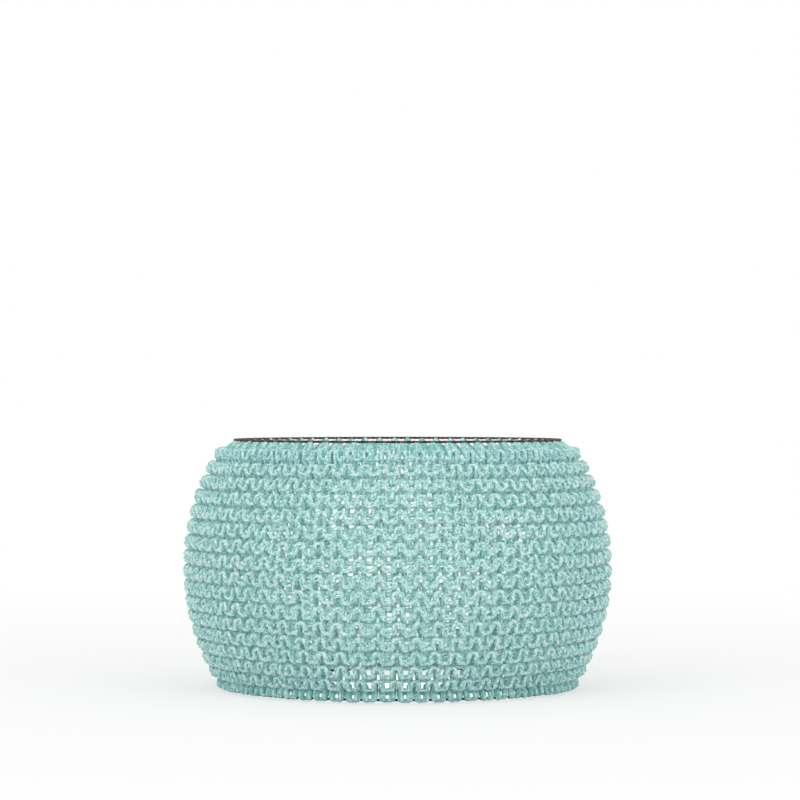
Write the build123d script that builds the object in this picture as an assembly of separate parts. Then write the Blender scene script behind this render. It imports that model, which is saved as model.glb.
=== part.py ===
"""Knitted cover sleeve in garter stitch, drawn in its stretched shape.

Millimetres, +Z up. The origin is at the middle of the lower rim, where the sleeve
stands on a table, and Z is the axis of the tube.
The wall is a zone of a sphere that bulges at its equator. Its outside carries the
ridges of the knitting, and each flat round the tube is one column of stitches, a wale.
Gaps between the stitches pierce the valleys between the ridges: they point up below the
equator and down above it, because the stitches are drawn wide in the middle.
A thin cord holds each rim: one lies on the upper rim and one in a step of the lower rim.
"""

import os
from math import asin, cos, degrees, pi, sin, tan

from build123d import *

# The knitted wall, with heights measured from the equator
inner_radius = 66.4
wall_thickness = 2.1
ridge_depth = 1.8
ridge_crest_share = 0.4
ridge_count = 16
upper_reach = 38.7
lower_reach = 35.4
inner_flats = 5

# The bands between the ridges and the rims
upper_rise = 2.5
upper_draw = 2.3
lower_fall = 2.3
lower_draw = 1.45
rim_width = 2.4
mouth_land = 3.0
mouth_trim = 0.2

# The gaps between the stitches
gaps_per_row = 17
wales_per_gap = 4
first_gap_row = 2
courses_per_gap = 2
gap_width = 3.0
gap_height = 2.8

# The cords at the rims
cord_thickness = 0.8
cord_clearance = 0.1
cord_lift = 0.9

# Sizes that follow
wale_count = gaps_per_row * wales_per_gap
wale_share = 2 * pi / wale_count
valley_radius = inner_radius + wall_thickness
crest_radius = valley_radius + ridge_depth
step_width = cord_thickness + 2 * cord_clearance
step_height = cord_lift + cord_thickness + cord_clearance
equator_height = step_height + lower_fall + lower_reach
upper_height = equator_height + upper_reach + upper_rise
lower_angle = -asin(lower_reach / valley_radius)
upper_angle = asin(upper_reach / valley_radius)
course_angle = (upper_angle - lower_angle) / ridge_count
lower_rim_radius = valley_radius * cos(lower_angle) - lower_draw
upper_rim_radius = valley_radius * cos(upper_angle) - upper_draw
lower_mouth_radius = lower_rim_radius - rim_width
upper_mouth_radius = upper_rim_radius - rim_width
upper_cord_radius = upper_rim_radius - (rim_width - cord_thickness) / 2
lower_cord_radius = lower_rim_radius - cord_clearance


def on_bulge(radius, angle):
    """The point of the section at a radius from the middle of the bulge and an angle above the equator."""
    return (radius * cos(angle), equator_height + radius * sin(angle))


def ridged_outside():
    """Section points of the outside, from the step of the lower rim up to the upper rim.

    A ridge has two crest points, and one valley point lies between ridges.
    """
    points = [(lower_rim_radius, step_height)]
    for course in range(ridge_count):
        foot = lower_angle + course * course_angle
        middle = foot + course_angle / 2
        half_crest = ridge_crest_share * course_angle / 2
        points.append(on_bulge(valley_radius, foot))
        points.append(on_bulge(crest_radius, middle - half_crest))
        points.append(on_bulge(crest_radius, middle + half_crest))
    points.append(on_bulge(valley_radius, upper_angle))
    points.append((upper_rim_radius, upper_height))
    return points


def smooth_inside():
    """Section points of the inside, from the plane of the upper rim down to that of the lower rim.

    Each end is an upright land, a little narrower than the round mouth that is cut later.
    """
    upper_land = upper_mouth_radius - mouth_trim
    lower_land = lower_mouth_radius - mouth_trim
    turn = (lower_angle - upper_angle) / inner_flats
    points = [(upper_land, upper_height), (upper_land, upper_height - mouth_land)]
    points += [on_bulge(inner_radius, upper_angle + turn * flat) for flat in range(1, inner_flats)]
    points += [(lower_land, mouth_land), (lower_land, 0)]
    return points


def wale(gap_rows):
    """One wale: the wall's section made thick, cut to its share of the turn and pierced in the rows named."""
    lower_step = [
        (lower_rim_radius - step_width, 0),
        (lower_rim_radius - step_width, step_height),
    ]
    section = make_face(Polyline(ridged_outside() + smooth_inside() + lower_step, close=True))
    slab = extrude(Plane.XZ * section, amount=crest_radius * wale_share, both=True)
    reach = 2 * crest_radius
    side = reach * tan(wale_share / 2)
    sector = extrude(make_face(Polyline((0, 0), (reach, -side), (reach, side), close=True)), amount=upper_height)
    column = slab & sector
    middle_radius = (inner_radius + crest_radius) / 2
    for row in gap_rows:
        angle = lower_angle + row * course_angle
        point = -gap_height / 2 if angle > 0 else gap_height / 2
        corners = Polyline((-gap_width / 2, -point), (gap_width / 2, -point), (0, point), close=True)
        gap = extrude(Plane.YZ * make_face(corners), amount=crest_radius - inner_radius, both=True)
        column -= Pos(0, 0, equator_height) * Rot(0, -degrees(angle), 0) * Pos(middle_radius, 0, 0) * gap
    return column.solid()


def knitted_sleeve():
    """The wales side by side round the axis, joined into one tube with a round mouth at each end."""
    rows = list(range(first_gap_row, ridge_count, courses_per_gap))
    plain = wale([])
    pierced = wale(rows[0::2])
    staggered = wale(rows[1::2])
    columns = []
    for number in range(wale_count):
        column = plain
        if number % wales_per_gap == 0:
            column = pierced
        elif number % wales_per_gap == wales_per_gap // 2:
            column = staggered
        columns.append(Rot(0, 0, degrees(number * wale_share)) * column)
    tube = columns[0].fuse(*columns[1:]).clean()
    lower_mouth = extrude(Circle(lower_mouth_radius), amount=equator_height)
    upper_mouth = Pos(0, 0, equator_height) * extrude(Circle(upper_mouth_radius), amount=upper_height)
    return tube - lower_mouth - upper_mouth


def edge_cord(outer_radius, height):
    """A thin cord laid as a ring, straight over two stitches at a time, with its foot at the height given."""
    sides = wale_count // 2
    turn = 180 / sides
    outline = RegularPolygon(outer_radius, sides, major_radius=False, rotation=turn)
    hole = RegularPolygon(outer_radius - cord_thickness, sides, major_radius=False, rotation=turn)
    return Pos(0, 0, height) * extrude(outline - hole, amount=cord_thickness)


parts = {
    "knitted_sleeve": knitted_sleeve(),
    "upper_edge_cord": edge_cord(upper_cord_radius, upper_height),
    "lower_edge_cord": edge_cord(lower_cord_radius, cord_lift),
}

os.makedirs("parts", exist_ok=True)
for name, shape in parts.items():
    export_step(shape, "parts/" + name + ".step")
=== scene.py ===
# %% [markdown]
# # A knitted sleeve, yarn by yarn
# The object is a short tube of garter stitch in turquoise cotton. It bulges like the middle slice of a
# ball, and a thin brown cord runs along each of its two open rims. The solid model holds its size, its
# ridges and some of its gaps. This lesson replaces the solid wall by the yarn itself, because every
# ridge, gap and scallop of a knit comes from one strand that goes to and fro.

# %% Load the solid model
import bpy
import numpy as np
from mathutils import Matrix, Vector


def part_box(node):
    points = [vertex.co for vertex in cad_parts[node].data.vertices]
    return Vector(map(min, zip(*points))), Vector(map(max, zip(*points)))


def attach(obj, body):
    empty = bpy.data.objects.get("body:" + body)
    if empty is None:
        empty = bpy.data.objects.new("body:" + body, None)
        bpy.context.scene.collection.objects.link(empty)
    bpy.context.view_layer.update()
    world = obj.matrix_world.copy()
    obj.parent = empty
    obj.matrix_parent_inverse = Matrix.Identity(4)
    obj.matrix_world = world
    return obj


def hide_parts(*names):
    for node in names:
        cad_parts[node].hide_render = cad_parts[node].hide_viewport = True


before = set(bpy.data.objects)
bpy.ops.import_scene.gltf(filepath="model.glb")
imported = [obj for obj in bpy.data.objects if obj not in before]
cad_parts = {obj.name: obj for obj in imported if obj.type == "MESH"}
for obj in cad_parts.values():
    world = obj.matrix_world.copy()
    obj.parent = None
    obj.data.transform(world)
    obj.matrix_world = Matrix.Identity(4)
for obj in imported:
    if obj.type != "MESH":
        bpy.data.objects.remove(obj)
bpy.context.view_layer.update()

# %% [markdown]
# ## The wall that the yarn follows
# Every stitch of the stretched sleeve lies on a ball-shaped wall. A flat knit could be wrapped round a
# ball with a modifier, but that would bend the yarn out of round. Here a point is given by its turn round
# the upright axis, its level along the wall, counted from the widest place, and how far it stands out of
# the wall. The knit stays simple in these three numbers, and one formula puts its centre lines on the
# ball.

# %% Bend a flat knit round the ball
MM = 0.001
WIDEST_HEIGHT = 39.5
WALL_RADIUS = 68.2


def on_wall(turn, level, out):
    """Point of the ball-shaped wall, in metres.

    The level in millimetres becomes an angle of latitude, level over wall radius. The point lies at the
    wall radius plus out in that direction, and the turn in radians carries it round the upright axis. A
    turn of zero faces the camera.
    """
    latitude = level / WALL_RADIUS
    reach = (WALL_RADIUS + out) * MM
    across = reach * np.cos(latitude)
    height = WIDEST_HEIGHT * MM + reach * np.sin(latitude)
    return np.stack([across * np.sin(turn), -across * np.cos(turn), height], axis=-1)


widest = on_wall(0.0, 0.0, 0.0)
print("the wall is", round(-2.0 * widest[1] / MM, 1), "mm wide at a height of", WIDEST_HEIGHT, "mm")

# %% [markdown]
# ## The path of one course
# A course is one round of the yarn. It climbs to a head, drops to a sinker and climbs again, once for
# each stitch. In garter stitch the courses come in pairs: in one the heads stand out of the wall and the
# sinkers lie inside, and in the next it is the other way round. Where heads and sinkers stand out
# together they make one of the ridges, and between the ridges light comes through. Each loop could be
# drawn by hand as a curve, but sums of waves along the yarn give all of them at once, and small random
# values keep any two from being alike.

# %% Stitches and courses of the sleeve
STITCHES = 68
COURSES = 33
STEPS = 18

along = np.arange(STITCHES * STEPS) / STEPS
phase = 2.0 * np.pi * along
course = np.arange(COURSES)[:, None]
first = course == 0
last = course == COURSES - 1
from_middle = 2.0 * course / (COURSES - 1) - 1.0
print(COURSES, "courses of", STITCHES, "stitches,", along.size, "points each")

# %% Small irregularities
SEED = 17

hand = np.random.default_rng(SEED)


def uneven(spread):
    """One irregularity for every stitch, eased along the yarn, as courses by points.

    A normal random value is drawn for each stitch of each course. Between two stitches the value changes
    along half a cosine, and the last stitch joins the first.
    """
    drawn = hand.normal(0.0, spread, (COURSES, STITCHES))
    before = np.floor(along).astype(int) % STITCHES
    after = (before + 1) % STITCHES
    ease = 0.5 - 0.5 * np.cos(np.pi * (along % 1.0))
    return drawn[:, before] * (1.0 - ease) + drawn[:, after] * ease


print("irregularities are drawn with seed", SEED)

# %% [markdown]
# ## The two rims
# The first and the last course differ from the others. The sinkers of the first one are round scallops,
# which make the lower rim. The heads of the last one are long hooks, which hang on the upper cord. Both
# could be pieces of their own, but then the yarn would have ends. A weight that is one in the middle of
# such a place and falls to zero beside it changes the path only there, so the yarn runs on without a
# break.

# %% Weights of heads, sinkers, hooks and scallops
head = (0.5 + 0.5 * np.cos(phase)) ** 2
sinker = (0.5 - 0.5 * np.cos(phase)) ** 2
hook = np.where(last, 1.0 - sinker, 0.0)
hook_tip = np.where(last, head, 0.0)
scallop = np.where(first, sinker, 0.0)
print("mean weight of hooks", round(hook[-1].mean(), 2), "and of scallops", round(scallop[0].mean(), 2))

# %% Turn of every point
LOOP_SWING = 0.5
LOOP_PINCH = 0.22
HOOK_PINCH = 0.3
SCALLOP_PINCH = 0.05
SCALLOP_ROUND = 0.7
UPPER_LEAN = 0.27
LOWER_LEAN = -0.08
TURN_SPREAD = 0.035


def loop_turns():
    """Turn of every point round the upright axis, in radians.

    One wave of the phase is one stitch of the round. The swing, a sine of twice the phase, makes heads
    and sinkers round and wider than their necks. The pinch, a sine of the phase that is taken away, makes
    heads narrower than sinkers. Hooks have no swing and more pinch, and scallops have less swing. The
    lean, in stitches, grows evenly from the lower rim to the upper one.
    """
    roundness = 1.0 - hook - SCALLOP_ROUND * scallop
    pinch = LOOP_PINCH + HOOK_PINCH * hook + np.where(first, SCALLOP_PINCH, 0.0)
    swing = LOOP_SWING * roundness * np.sin(2.0 * phase) - pinch * np.sin(phase)
    lean = LOWER_LEAN + (UPPER_LEAN - LOWER_LEAN) * course / (COURSES - 1)
    return (phase + swing) / STITCHES + 2.0 * np.pi * (lean + uneven(TURN_SPREAD)) / STITCHES


turns = loop_turns()
print("one stitch is", round(2.0 * np.pi * WALL_RADIUS / STITCHES, 2), "mm wide at the widest place")

# %% Level of every point
COURSE_HEIGHT = 2.443
FIRST_LEVEL = -38.36
SAG = 0.71
LOOP_REACH = 2.75
LOOP_FLAT = 0.12
SCALLOP_LIFT = 0.85
HOOK_LIFT = 2.5
LEVEL_SPREAD = 0.12


def loop_levels():
    """Level of every point along the wall above the widest place, in millimetres.

    The courses lie evenly one above the other, less a sag of half a sine that is largest in the middle.
    Each loop adds its reach times the cosine of the phase, which a part of the cosine of three times the
    phase flattens at both ends. Scallops aren't flattened. They are lifted, and so are the tips of the
    hooks.
    """
    flat = LOOP_FLAT * (1.0 - scallop)
    rise = (np.cos(phase) - flat * np.cos(3.0 * phase)) / (1.0 - flat)
    level = FIRST_LEVEL + COURSE_HEIGHT * course - SAG * np.sin(np.pi * course / (COURSES - 1))
    level = level + LOOP_REACH * rise + uneven(LEVEL_SPREAD)
    return level + SCALLOP_LIFT * scallop + HOOK_LIFT * hook_tip


levels = loop_levels()
print("levels from", round(levels.min(), 1), "to", round(levels.max(), 1), "mm")

# %% Depth of every point
LOOP_DEPTH = 1.25
LOOP_CURL = 0.8
LOOP_CREST = 0.28
UPPER_FULLNESS = 0.75
SCALLOP_PUSH = 0.4
HOOK_PUSH = -2.2
DEPTH_SPREAD = 0.10


def loop_depths():
    """How far every point stands out of the wall, in millimetres.

    The roll is a sum of cosines of one, three and five times the phase. It keeps the yarn on one side of
    the wall over a whole head and on the other side over a whole sinker. Its sign changes from course to
    course, so that two neighbours make a ridge together. Hooks don't roll. The upper half is fuller by
    the square of its distance from the middle course. Scallops are pushed out, and the tips of the hooks
    in.
    """
    side = np.where(course % 2 == 0, -1.0, 1.0)
    roll = LOOP_DEPTH * np.cos(phase) - LOOP_CURL * np.cos(3.0 * phase) + LOOP_CREST * np.cos(5.0 * phase)
    fuller = UPPER_FULLNESS * np.maximum(from_middle, 0.0) ** 2
    out = side * roll * (1.0 - hook) + fuller + uneven(DEPTH_SPREAD)
    return out + SCALLOP_PUSH * scallop + HOOK_PUSH * hook_tip


paths = on_wall(turns, levels, loop_depths())
heights = paths[..., 2] / MM
print("yarn centre lines from", round(heights.min(), 1), "to", round(heights.max(), 1), "mm high")

# %% [markdown]
# ## A strand along a closed path
# The yarn is a soft strand of two plies that are twisted together. It is almost even at the widest place
# of the sleeve. Toward the rims the legs grow thicker than the bends, and the legs of the scallops and
# the hooks are made a little thicker still. A curve with a bevel would give a plain tube, so a profile
# with lobes is carried along the path instead. At each point it stands square to the path, and its first
# direction points out of the wall, so that it never twists by accident. The plies get their twist on
# purpose from a phase that grows along the yarn. The last ring of points joins the first, so a course has
# no seam.

# %% Thickness of the yarn
YARN_THICKNESS = 1.4
YARN_SQUEEZE = 0.04
RIM_SQUEEZE = 0.26
SCALLOP_LEGS = 0.28
HOOK_SWELL = 0.25
THICKNESS_SPREAD = 0.06

near_rim = from_middle ** 2
squeeze = YARN_SQUEEZE - RIM_SQUEEZE * near_rim
thickness = YARN_THICKNESS * (1.0 + squeeze * np.cos(2.0 * phase)) + uneven(THICKNESS_SPREAD)
thickness = thickness * np.where(first, 1.0 + SCALLOP_LEGS * np.sin(phase) ** 2, 1.0)
thickness = thickness * np.where(last, 1.0 + HOOK_SWELL * (0.5 + 0.5 * np.cos(phase)), 1.0)
print("yarn", round(thickness.min(), 2), "to", round(thickness.max(), 2), "mm thick")

# %% Surface of the yarn
YARN_SIDES = 10
YARN_PLIES = 2
PLY_LOBE = 0.05
TWISTS_PER_STITCH = 2


def unit(vectors):
    """Vectors divided by their own length."""
    return vectors / np.linalg.norm(vectors, axis=-1, keepdims=True)


def strand(path, thickness, sides, plies, lobe, twists):
    """Surface of a twisted strand round closed paths, as paths by points by sides by three.

    The tangent is the difference of the neighbouring points. The outward direction is the one away from
    the middle of the ball, made square to the tangent, and their cross product completes the frame. The
    radius swells by lobe wherever the ply phase, plies times the angle plus the twists along the path, is
    at a crest.
    """
    middle = np.array([0.0, 0.0, WIDEST_HEIGHT * MM])
    tangent = unit(np.roll(path, -1, axis=-2) - np.roll(path, 1, axis=-2))
    outward = path - middle
    outward = unit(outward - tangent * np.sum(outward * tangent, axis=-1, keepdims=True))
    beside = np.cross(tangent, outward)
    angle = 2.0 * np.pi * np.arange(sides) / sides
    twist = 2.0 * np.pi * twists * np.arange(path.shape[-2])[:, None] / path.shape[-2]
    radius = 0.5 * MM * thickness[..., None] * (1.0 + lobe * np.cos(plies * angle + twist))
    ring = np.cos(angle)[:, None] * outward[..., None, :]
    ring = ring + np.sin(angle)[:, None] * beside[..., None, :]
    return path[..., None, :] + radius[..., None] * ring


yarn = strand(paths, thickness, YARN_SIDES, YARN_PLIES, PLY_LOBE, TWISTS_PER_STITCH * STITCHES)
print("yarn surface of", yarn[..., 0].size, "points")

# %% [markdown]
# ## The cotton yarn
# The yarn is matt cotton in a light turquoise. Close up it is not one colour: the plies catch the light and
# the hollows between them lie in shade, and the colour paints both in, as painted highlight and painted
# shade, while short fibres blur both with a random tone of the yarn. An image could be laid over the wall,
# but its stripes would not follow the loops. The UV map runs along the strand, so stripes made from it slant
# across the yarn wherever it goes, and a fine noise breaks them up. An attribute of the mesh makes the heads
# and sinkers lighter than the legs: painted light on the bends and painted shade on the legs.

# %% Wiring of shader nodes
def link(tree, source, node, socket):
    """Joins a source, which is a node with its output's name, to an input of another node."""
    tree.links.new(source[0].outputs[source[1]], node.inputs[socket])


def maths(tree, operation, first_value, second_value):
    """Maths node, given back as a source. Each of its two inputs is a number or a source."""
    node = tree.nodes.new("ShaderNodeMath")
    node.operation = operation
    for place, value in enumerate((first_value, second_value)):
        if isinstance(value, tuple):
            link(tree, value, node, place)
        else:
            node.inputs[place].default_value = value
    return node, "Value"


print("helpers for shader nodes are ready")

# %% Stripes, fibres and colours of spun yarn
STRIPES_ROUND = 2.0
# The lowest stop of the ramp is painted shade and the highest is painted highlight.
HOLLOW_STOP = 0.2
BODY_STOP = 0.55
CREST_STOP = 0.98


def ply_stripes(tree, place, stripes):
    """Slanted stripes: a diagonal wave over the UV map. A higher value of stripes sets them closer."""
    slant = tree.nodes.new("ShaderNodeMapping")
    slant.inputs["Scale"].default_value = (stripes, STRIPES_ROUND, 1.0)
    link(tree, (place, "UV"), slant, "Vector")
    ply = tree.nodes.new("ShaderNodeTexWave")
    ply.wave_type = "BANDS"
    ply.bands_direction = "DIAGONAL"
    ply.inputs["Scale"].default_value = 0.5
    ply.inputs["Distortion"].default_value = 1.6
    ply.inputs["Detail"].default_value = 2.0
    ply.inputs["Detail Scale"].default_value = 2.5
    link(tree, (slant, "Vector"), ply, "Vector")
    return ply, "Fac"


def fibre_noise(tree, place):
    """Noise almost as fine as single fibres, on the object's own coordinates."""
    fibre = tree.nodes.new("ShaderNodeTexNoise")
    fibre.inputs["Scale"].default_value = 1300.0
    fibre.inputs["Detail"].default_value = 1.0
    fibre.inputs["Roughness"].default_value = 0.6
    link(tree, (place, "Object"), fibre, "Vector")
    return fibre, "Fac"


def yarn_colours(tree, shade, shaded_hollow, body, lit_crest):
    """Colour ramp over the shade, from the painted shade of the hollows between plies, through the yarn's
    own body colour, to the painted highlight of its crests.
    """
    ramp = tree.nodes.new("ShaderNodeValToRGB")
    stops = ramp.color_ramp.elements
    stops[0].position = HOLLOW_STOP
    stops[0].color = (*shaded_hollow, 1.0)
    stops[1].position = CREST_STOP
    stops[1].color = (*lit_crest, 1.0)
    stops.new(BODY_STOP).color = (*body, 1.0)
    link(tree, shade, ramp, "Fac")
    return ramp, "Color"


print("colour stops at", HOLLOW_STOP, BODY_STOP, CREST_STOP)

# %% Material of the turquoise yarn
PLY_SHARE = 0.30
FIBRE_SHARE = 1.5
PAINTED_LIGHT_SHARE = 0.36
SHADE_SHIFT = -0.56


def yarn_material(name, shaded_hollow, body, lit_crest, stripes, depth):
    """Matt spun yarn in three colours: its own body colour, a painted shade for the hollows and a painted
    highlight for the crests.

    Its height is the sum of the ply stripes and the fibre noise, each times its share, and it is the bump as
    well. The shade that picks the colour is the height plus the share of the mesh's painted light plus a
    shift. Low places get the painted shade of the hollows, high ones get the painted highlight of the
    crests, and the fibre noise adds a random tone.
    """
    material = bpy.data.materials.new(name)
    material.use_nodes = True
    tree = material.node_tree
    shader = tree.nodes["Principled BSDF"]
    shader.inputs["Roughness"].default_value = 0.95
    shader.inputs["Specular IOR Level"].default_value = 0.08
    shader.inputs["Sheen Weight"].default_value = 0.15
    shader.inputs["Sheen Roughness"].default_value = 0.7
    place = tree.nodes.new("ShaderNodeTexCoord")
    light_paint = tree.nodes.new("ShaderNodeAttribute")
    light_paint.attribute_name = "light_paint"
    spun = maths(tree, "MULTIPLY", ply_stripes(tree, place, stripes), PLY_SHARE)
    loose = maths(tree, "MULTIPLY", fibre_noise(tree, place), FIBRE_SHARE)
    height = maths(tree, "ADD", spun, loose)
    # Painted light from the mesh attribute lightens or darkens the colour.
    lit = maths(tree, "MULTIPLY", (light_paint, "Fac"), PAINTED_LIGHT_SHARE)
    shade = maths(tree, "ADD", maths(tree, "ADD", height, lit), SHADE_SHIFT)
    link(tree, yarn_colours(tree, shade, shaded_hollow, body, lit_crest), shader, "Base Color")
    bump = tree.nodes.new("ShaderNodeBump")
    bump.inputs["Strength"].default_value = 0.7
    bump.inputs["Distance"].default_value = depth * MM
    link(tree, height, bump, "Height")
    link(tree, (bump, "Normal"), shader, "Normal")
    return material


# The body is the yarn's own turquoise. The hollow colour is painted shade and the crest colour is painted
# highlight.
turquoise = yarn_material(
    "turquoise_cotton",
    shaded_hollow=(0.18, 0.46, 0.44),
    body=(0.48, 0.73, 0.705),
    lit_crest=(0.81, 0.92, 0.905),
    stripes=4.0,
    depth=0.35,
)
print("made", turquoise.name)

# %% [markdown]
# ## The knit itself
# All courses together make the wall. They could be one mesh, or one object for each course. Five bands, one
# above the other, are few enough to handle, and none of them grows too heavy. The heads and sinkers get
# painted light and the legs get painted shade. Close to both rims, where the stitches are drawn together,
# the yarn gets a darker painted shade.

# %% A mesh from closed strands
def strand_mesh(name, surface, painted_light):
    """One mesh object from the surface of one or more closed strands.

    Each quad joins a point to the next one along and the next one round, both counted in a circle. The UV
    map holds the place along the strand, with as many points to a unit as a stitch has steps, and the place
    round it from zero to one. A point attribute holds the painted light of each point of the path, which
    lightens the colour as painted highlight or darkens it as painted shade.
    """
    strands, points, sides = surface.shape[:3]
    index = np.arange(strands * points * sides).reshape(strands, points, sides)
    ahead = np.roll(index, -1, axis=1)
    quads = np.stack([index, ahead, np.roll(ahead, -1, axis=2), np.roll(index, -1, axis=2)], axis=-1)
    mesh = bpy.data.meshes.new(name)
    mesh.vertices.add(index.size)
    mesh.vertices.foreach_set("co", surface.astype(np.float32).ravel())
    mesh.loops.add(quads.size)
    mesh.loops.foreach_set("vertex_index", quads.astype(np.int32).ravel())
    mesh.polygons.add(index.size)
    mesh.polygons.foreach_set("loop_start", np.arange(0, quads.size, 4, dtype=np.int32))
    mesh.polygons.foreach_set("use_smooth", np.ones(index.size, dtype=bool))
    u = np.arange(points)[:, None, None] + np.array([0, 1, 1, 0])
    v = np.arange(sides)[None, :, None] + np.array([0, 0, 1, 1])
    unrolled = np.stack(np.broadcast_arrays(u / STEPS, v / sides), axis=-1)
    unrolled = np.broadcast_to(unrolled, (strands,) + unrolled.shape)
    mesh.uv_layers.new(name="strand").data.foreach_set("uv", unrolled.astype(np.float32).ravel())
    light_paint = np.broadcast_to(painted_light[..., None], surface.shape[:3])
    mesh.attributes.new("light_paint", "FLOAT", "POINT").data.foreach_set("value", light_paint.astype(np.float32).ravel())
    mesh.update(calc_edges=True)
    piece = bpy.data.objects.new(name, mesh)
    bpy.context.scene.collection.objects.link(piece)
    return piece


print("each point of a course becomes", 2 * YARN_SIDES, "triangles")

# %% Five bands of knit
BANDS = 5
# Painted light of the knit: lighter heads and sinkers, darker legs, and painted shade near both rims.
LEG_PAINTED_LIGHT = 0.35
BEND_PAINTED_LIGHT = 0.3
RIM_SHADE = 0.4
RIM_SHADE_POWER = 8

painted_light = LEG_PAINTED_LIGHT + BEND_PAINTED_LIGHT * np.cos(phase) ** 2 - RIM_SHADE * near_rim ** RIM_SHADE_POWER
bands = zip(np.array_split(yarn, BANDS), np.array_split(painted_light, BANDS))
for band, (surface, light_paint) in enumerate(bands, start=1):
    piece = strand_mesh(f"knit_band_{band}", surface, light_paint)
    piece.data.materials.append(turquoise)
    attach(piece, "root")
    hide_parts("knitted_sleeve")
    print(piece.name, "has", 2 * len(piece.data.polygons), "triangles")

# %% [markdown]
# ## Loose fibres
# Spun cotton is never quite smooth: the ends of short fibres stand off the yarn and blur its edge. A hair
# system could make them, but they would be no part of a mesh. Each one is a slender spike of three sides,
# so thin that only many together can be seen, and all of them are one piece.

# %% Fibre ends that stand off the yarn
FIBRES = 22000
FIBRE_LENGTH = 1.1
SHORTEST_SHARE = 0.5
FIBRE_WIDTH = 0.09
FIBRE_STRAY = 0.9
FIBRE_LOWEST = 3.0


def fibre_spikes(count):
    """Corner points of all spikes, as an array of spikes by four by three.

    A spike's root is a random point of the yarn's surface. It points away from the yarn's centre line,
    turned by a random stray, and its length is a random share of the fibre length. Three corners lie
    round the root, and the fourth is the tip. Spikes with their tips too close to the floor are left out.
    """
    which = hand.integers(0, COURSES, count)
    point = hand.integers(0, paths.shape[1], count)
    root = yarn[which, point, hand.integers(0, YARN_SIDES, count)]
    way = unit(unit(root - paths[which, point]) + FIBRE_STRAY * unit(hand.normal(size=(count, 3))))
    across = unit(np.cross(way, unit(hand.normal(size=(count, 3)))))
    angle = (2.0 * np.pi / 3.0 * np.arange(3))[None, :, None]
    ring = np.cos(angle) * across[:, None] + np.sin(angle) * np.cross(way, across)[:, None]
    foot = root[:, None] + 0.5 * FIBRE_WIDTH * MM * ring
    tip = root + way * (FIBRE_LENGTH * MM * hand.uniform(SHORTEST_SHARE, 1.0, count))[:, None]
    spikes = np.concatenate([foot, tip[:, None]], axis=1)
    return spikes[tip[:, 2] > FIBRE_LOWEST * MM]


spikes = fibre_spikes(FIBRES)
print(len(spikes), "of", FIBRES, "fibre ends are kept")

# %% One piece of all fibre ends
# Painted light on the fibre ends, a little more than on the yarn's body.
FIBRE_PAINTED_LIGHT = 0.8
SPIKE_FACETS = np.array([(0, 1, 3), (1, 2, 3), (2, 0, 3), (0, 2, 1)])

corners_before = spikes.shape[1] * np.arange(len(spikes))[:, None, None]
facets = (corners_before + SPIKE_FACETS).reshape(-1, 3)
fuzz_mesh = bpy.data.meshes.new("loose_fibres")
fuzz_mesh.from_pydata(spikes.reshape(-1, 3), [], facets)
fuzz_painted_light = np.full(len(fuzz_mesh.vertices), FIBRE_PAINTED_LIGHT, dtype=np.float32)
fuzz_mesh.attributes.new("light_paint", "FLOAT", "POINT").data.foreach_set("value", fuzz_painted_light)
fuzz = bpy.data.objects.new("loose_fibres", fuzz_mesh)
bpy.context.scene.collection.objects.link(fuzz)
fuzz.data.materials.append(turquoise)
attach(fuzz, "root")
print(fuzz.name, "has", len(facets), "triangles")

# %% [markdown]
# ## The rim cords
# A thin, hard-twisted brown cord keeps each rim from stretching. The hooks of the last course hang on the
# upper one. The lower one lies behind the scallops of the first course and shows in the notches between
# them. A plain ring could stand for a cord, but it would cut through the stitches. So each cord weaves,
# in front of the heads and behind the sinkers, and two clear plies show its twist.

# %% Material of the brown cord
# The body is the cord's own brown. The hollow colour is painted shade and the crest colour is painted
# highlight.
brown = yarn_material(
    "brown_cord",
    shaded_hollow=(0.018, 0.011, 0.008),
    body=(0.060, 0.036, 0.025),
    lit_crest=(0.135, 0.090, 0.066),
    stripes=6.0,
    depth=0.15,
)
print("made", brown.name)

# %% Two twisted cords
CORD_THICKNESS = 0.8
CORD_STEPS = 20
CORD_POINTS = CORD_STEPS * STITCHES
CORD_SIDES = 10
CORD_PLIES = 2
CORD_LOBE = 0.12
CORD_TWISTS_PER_STITCH = 3
CORD_SWAY = 0.5
LOWER_WAVE = 0.25
LOWER_DROP = 0.4


def rim_cord(node, lean, wave, drop):
    """Closed cord along the ring of its solid.

    The weave is a cosine with one wave to a stitch and its crests at the heads, moved along by the lean. The
    radius is the ring's own plus the sway times the weave, and the height is the ring's own plus the wave
    times the weave, less the drop. The crests, where the cord comes forward, get painted highlight, and the
    troughs get painted shade.
    """
    low, high = (np.array(corner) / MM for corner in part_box(node))
    radius = 0.5 * (high[0] - low[0]) - 0.5 * CORD_THICKNESS
    height = 0.5 * (low[2] + high[2])
    turn = 2.0 * np.pi * np.arange(CORD_POINTS) / CORD_POINTS
    weave = np.cos(STITCHES * turn - 2.0 * np.pi * lean)
    sway = radius + CORD_SWAY * weave
    ring = np.stack([sway * np.sin(turn), -sway * np.cos(turn), height + wave * weave - drop], axis=-1)
    path = ring[None] * MM
    width = np.full((1, CORD_POINTS), CORD_THICKNESS)
    twisted = strand(path, width, CORD_SIDES, CORD_PLIES, CORD_LOBE, CORD_TWISTS_PER_STITCH * STITCHES)
    # Painted light along the weave: painted highlight where the cord comes forward, painted shade where it
    # goes behind.
    piece = strand_mesh(node.replace("edge", "twisted"), twisted, 0.5 + 0.5 * weave)
    piece.data.materials.append(brown)
    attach(piece, "root")
    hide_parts(node)
    return piece


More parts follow.
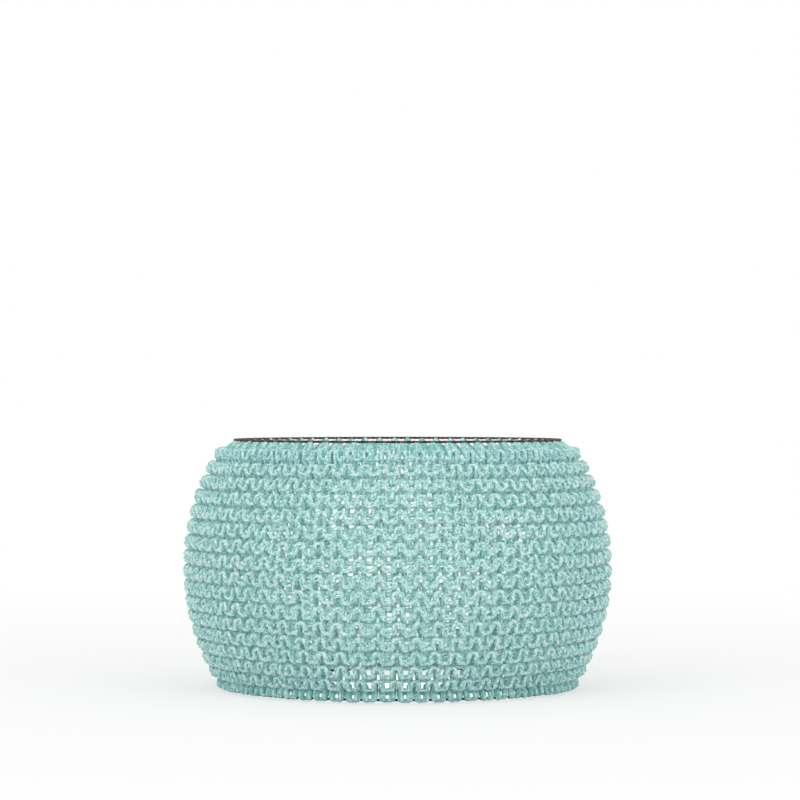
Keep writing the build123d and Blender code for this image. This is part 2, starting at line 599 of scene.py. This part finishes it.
cords = (
    ("upper_edge_cord", UPPER_LEAN, 0.0, 0.0),
    ("lower_edge_cord", LOWER_LEAN, LOWER_WAVE, LOWER_DROP),
)
for node, lean, wave, drop in cords:
    print(rim_cord(node, lean, wave, drop).name, "follows", node)

# %% [markdown]
# ## The floor
# The sleeve stands on its lower rim on a plain white floor. More light would make the floor white, but it
# would bleach the yarn as well. So the floor glows where the camera sees it: about half near the sleeve,
# where its soft shadow stays, and fully farther away, where it fades into the white room. For the light
# on the yarn it is still a plain matt board.

# %% A white floor
FLOOR_SIZE = 6.0
FADE_START = 0.06
FADE_END = 0.55
FADE_NEAR = 0.55


def seen_directly(tree):
    """One for rays from the camera, from mirrors and through clear things, and zero for all others.

    It is the largest of the three outputs of the light path, so what it turns on lights nothing matt.
    """
    rays = tree.nodes.new("ShaderNodeLightPath")
    either = maths(tree, "MAXIMUM", (rays, "Is Camera Ray"), (rays, "Is Glossy Ray"))
    return maths(tree, "MAXIMUM", either, (rays, "Is Transmission Ray"))


def floor_material():
    """Matt white board that the camera sees fade into white with the distance from the sleeve's axis."""
    material = bpy.data.materials.new("white_floor")
    material.use_nodes = True
    tree = material.node_tree
    board = tree.nodes["Principled BSDF"]
    board.inputs["Base Color"].default_value = (0.86, 0.86, 0.86, 1.0)
    board.inputs["Roughness"].default_value = 0.95
    board.inputs["Specular IOR Level"].default_value = 0.0
    white = tree.nodes.new("ShaderNodeEmission")
    white.inputs["Color"].default_value = (1.0, 1.0, 1.0, 1.0)
    place = tree.nodes.new("ShaderNodeTexCoord")
    away = tree.nodes.new("ShaderNodeVectorMath")
    away.operation = "LENGTH"
    link(tree, (place, "Object"), away, 0)
    fade = tree.nodes.new("ShaderNodeMapRange")
    fade.interpolation_type = "SMOOTHSTEP"
    fade.inputs["From Min"].default_value = FADE_START
    fade.inputs["From Max"].default_value = FADE_END
    fade.inputs["To Min"].default_value = FADE_NEAR
    fade.inputs["To Max"].default_value = 1.0
    link(tree, (away, "Value"), fade, "Value")
    blend = tree.nodes.new("ShaderNodeMixShader")
    link(tree, maths(tree, "MULTIPLY", (fade, "Result"), seen_directly(tree)), blend, "Fac")
    link(tree, (board, "BSDF"), blend, 1)
    link(tree, (white, "Emission"), blend, 2)
    link(tree, (blend, "Shader"), tree.nodes["Material Output"], "Surface")
    return material


reach = 0.5 * FLOOR_SIZE
corners = [(-reach, -reach, 0.0), (reach, -reach, 0.0), (reach, reach, 0.0), (-reach, reach, 0.0)]
floor_mesh = bpy.data.meshes.new("floor")
floor_mesh.from_pydata(corners, [], [(0, 1, 2, 3)])
floor = bpy.data.objects.new("floor", floor_mesh)
bpy.context.scene.collection.objects.link(floor)
floor.data.materials.append(floor_material())
print("floor of", FLOOR_SIZE, "m")

# %% [markdown]
# ## Light
# The light is even and soft. One strong lamp would show the stitches more sharply, but its shadows would
# hide the valleys between the ridges. A white room lights the sleeve from all sides, and two large, weak
# lamps in front give it a little form. A third, very weak one in the middle of the tube makes its inner
# side about as bright as the outer one, so that the gaps don't look dark.

# %% A white room
ROOM_LIGHT = 0.9


def room():
    """White room: full white to the camera and to mirrors, and a little less light on everything else."""
    world = bpy.data.worlds.new("white_room")
    world.use_nodes = True
    tree = world.node_tree
    back = tree.nodes["Background"]
    back.inputs["Color"].default_value = (1.0, 1.0, 1.0, 1.0)
    level = tree.nodes.new("ShaderNodeMapRange")
    level.inputs["To Min"].default_value = ROOM_LIGHT
    level.inputs["To Max"].default_value = 1.0
    link(tree, seen_directly(tree), level, "Value")
    link(tree, (level, "Result"), back, "Strength")
    return world


bpy.context.scene.world = room()
print("room light", ROOM_LIGHT)

# %% Two lamps in front and one inside
SLEEVE_MIDDLE = (0.0, 0.0, 0.04)
LEFT_PLACE = (-0.9, -1.0, 0.9)
LEFT_POWER = 5.0
RIGHT_PLACE = (0.9, -1.0, 0.7)
RIGHT_POWER = 3.5
LAMP_SIZE = 0.9
INNER_POWER = 0.08
INNER_SIZE = 0.02


def front_lamp(name, place, power):
    """Square soft lamp, in metres and watts, turned toward the middle of the sleeve.

    A lamp shines straight down until it is turned. It is tilted by the angle between straight down and
    its way to the sleeve, and then turned about the upright axis to the heading of that way.
    """
    light = bpy.data.lights.new(name, "AREA")
    light.size = LAMP_SIZE
    light.energy = power
    way = np.array(SLEEVE_MIDDLE) - np.array(place)
    tilt = np.arccos(-way[2] / np.linalg.norm(way))
    heading = np.arctan2(way[0], -way[1])
    stand = bpy.data.objects.new(name, light)
    stand.location = place
    stand.rotation_euler = (tilt, 0.0, np.pi + heading)
    bpy.context.scene.collection.objects.link(stand)
    return stand


def inner_lamp(name):
    """Weak round lamp in the middle of the sleeve, which the camera doesn't see."""
    light = bpy.data.lights.new(name, "POINT")
    light.shadow_soft_size = INNER_SIZE
    light.energy = INNER_POWER
    stand = bpy.data.objects.new(name, light)
    stand.location = SLEEVE_MIDDLE
    stand.visible_camera = False
    bpy.context.scene.collection.objects.link(stand)
    return stand


lamps = (
    front_lamp("soft_lamp_left", LEFT_PLACE, LEFT_POWER),
    front_lamp("soft_lamp_right", RIGHT_PLACE, RIGHT_POWER),
    inner_lamp("lamp_within"),
)
print("lamps", [lamp.name for lamp in lamps])

# %% [markdown]
# ## The camera
# The photograph shows the sleeve almost level, from so far away that its upper rim is a narrow line. A
# camera could be tilted down to the sleeve, but then upright lines would lean. It stays level, a metre
# away and a little above the upper rim, with a long lens.

# %% The camera of the photograph
CAMERA_DISTANCE = 1.0
CAMERA_HEIGHT = 0.0942
CAMERA_SIDE = 0.0008
LENS = 136.8
SENSOR_WIDTH = 36.0

camera = bpy.data.cameras.new("camera")
camera.lens = LENS
camera.sensor_width = SENSOR_WIDTH
viewer = bpy.data.objects.new("camera", camera)
viewer.location = (CAMERA_SIDE, -CAMERA_DISTANCE, CAMERA_HEIGHT)
viewer.rotation_euler = (0.5 * np.pi, 0.0, 0.0)
bpy.context.scene.collection.objects.link(viewer)
bpy.context.scene.camera = viewer
bpy.context.scene.view_settings.view_transform = "Standard"
print("camera", CAMERA_DISTANCE, "m away")
